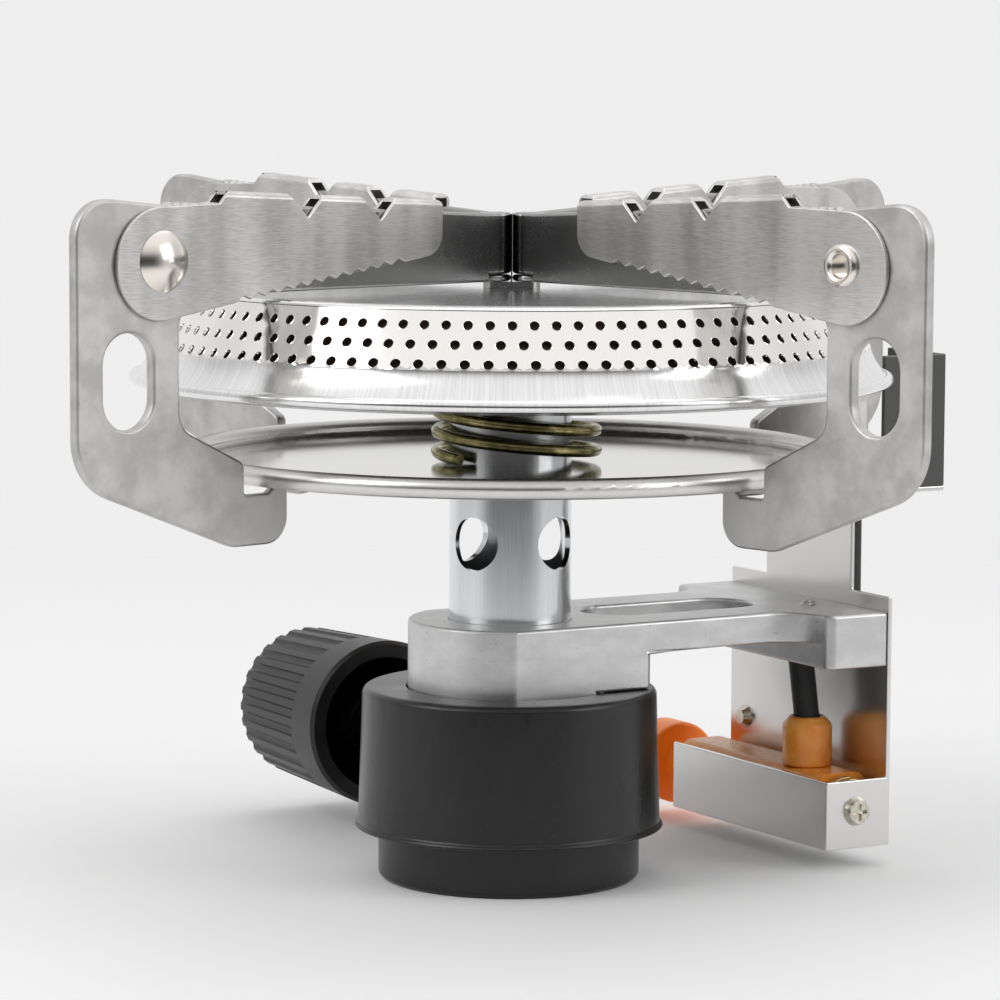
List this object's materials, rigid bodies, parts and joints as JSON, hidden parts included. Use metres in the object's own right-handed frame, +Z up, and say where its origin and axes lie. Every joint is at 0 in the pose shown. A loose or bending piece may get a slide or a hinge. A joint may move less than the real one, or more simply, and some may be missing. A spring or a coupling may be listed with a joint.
{
  "type": "folding camping stove",
  "caption": "Small gas stove head with swivelling sheet pot supports, flip-up support arms, a sprung drip tray, a side control knob and a push-button igniter.",
  "frame": {"origin": "on the burner's axis, at the underside of the skirt, in the mouth of the inlet thread", "axes": "+Z up along the burner's axis, +X along the igniter arm, +Y along the knob and the igniter button"},
  "size_m": [0.1504, 0.15, 0.0981],
  "materials": {
    "skirt": "satin moulded black",
    "knob": "matt moulded dark grey",
    "brass": "turned",
    "seal": "matt",
    "spindle": "turned",
    "diecast": "fine blasted casting",
    "tube": "bright plated",
    "tray": "polished",
    "spring": "yellow passivated",
    "burner": "polished, brushed flange",
    "ring": "polished",
    "support": "satin",
    "arm": "brushed along its length",
    "rivet": "bright",
    "bracket": "bright rolled",
    "guard": "dark",
    "ceramic": "glazed",
    "igniter": "moulded amber",
    "button": "moulded orange",
    "lead": "matt sleeve",
    "screw": "plated"
  },
  "bodies": {
    "stove": {"valve_skirt": "skirt", "valve_body": "brass", "inlet_seal": "seal", "opening_pin": "brass", "gas_jet": "brass", "gland_housing": "brass", "spindle_seal": "seal", "packing_nut": "brass", "diecast_head": "diecast", "igniter_lead": "lead", "mixing_tube": "tube", "tray_spring": "spring", "burner_pan": "burner", "flame_ring": "ring", "burner_cap": "burner", "leg_hub": "support", "hinge_pins": "rivet", "igniter_bracket": "bracket", "electrode_guard": "guard", "electrode_insulator": "ceramic", "electrode_rod": "spindle", "igniter_body": "igniter", "igniter_terminal": "igniter", "contact_washers": "brass", "holder_screw": "screw", "bracket_screws": "screw", "plate_rivet": "screw"},
    "support_front_left": {"leg_front_left": "support", "rivet_front_left": "rivet"},
    "flip_front_left": {"arm_front_left": "arm"},
    "support_front_right": {"leg_front_right": "support", "rivet_front_right": "rivet"},
    "flip_front_right": {"arm_front_right": "arm"},
    "support_back_right": {"leg_back_right": "support", "rivet_back_right": "rivet"},
    "flip_back_right": {"arm_back_right": "arm"},
    "support_back_left": {"leg_back_left": "support", "rivet_back_left": "rivet"},
    "flip_back_left": {"arm_back_left": "arm"},
    "tray": {"drip_tray": "tray"},
    "knob": {"control_knob": "knob", "valve_spindle": "spindle"},
    "button": {"igniter_button": "button"}
  },
  "joints": [
    {"name": "swivel_front_left", "type": "hinge", "parent": "stove", "child": "support_front_left", "pos_m": [-0.00204, 0.00126, 0.089], "axis": [0, 0, 1], "range_deg": [0, 41]},
    {"name": "flip_front_left", "type": "hinge", "parent": "support_front_left", "child": "flip_front_left", "pos_m": [-0.06161, -0.0141, 0.0892], "axis": [0.23, -0.9732, 0], "range_deg": [0, 88]},
    {"name": "swivel_front_right", "type": "hinge", "parent": "stove", "child": "support_front_right", "pos_m": [0.00204, -0.00126, 0.089], "axis": [0, 0, -1], "range_deg": [0, 41]},
    {"name": "flip_front_right", "type": "hinge", "parent": "support_front_right", "child": "flip_front_right", "pos_m": [0.01497, -0.0614, 0.0892], "axis": [0.9732, 0.23, 0], "range_deg": [0, 88]},
    {"name": "swivel_back_right", "type": "hinge", "parent": "stove", "child": "support_back_right", "pos_m": [0.00204, -0.00126, 0.089], "axis": [0, 0, 1], "range_deg": [0, 41]},
    {"name": "flip_back_right", "type": "hinge", "parent": "support_back_right", "child": "flip_back_right", "pos_m": [0.06161, 0.0141, 0.0892], "axis": [-0.23, 0.9732, 0], "range_deg": [0, 88]},
    {"name": "swivel_back_left", "type": "hinge", "parent": "stove", "child": "support_back_left", "pos_m": [-0.00204, 0.00126, 0.089], "axis": [0, 0, -1], "range_deg": [0, 41]},
    {"name": "flip_back_left", "type": "hinge", "parent": "support_back_left", "child": "flip_back_left", "pos_m": [-0.01497, 0.0614, 0.0892], "axis": [-0.9732, -0.23, 0], "range_deg": [0, 88]},
    {"name": "tray_slide", "type": "slide", "parent": "stove", "child": "tray", "axis": [0, 0, 1], "range_m": [0, 0.0024], "stiffness_N_per_m": 900, "springref_m": -0.004, "deforming": ["tray_spring"]},
    {"name": "knob_turn", "type": "hinge", "parent": "stove", "child": "knob", "pos_m": [0, 0, 0.0164], "axis": [0, 1, 0], "range_deg": [0, 720]},
    {"name": "button_press", "type": "slide", "parent": "stove", "child": "button", "axis": [0, -1, 0], "range_m": [0, 0.005], "stiffness_N_per_m": 800, "springref_m": -0.004}
  ]
}
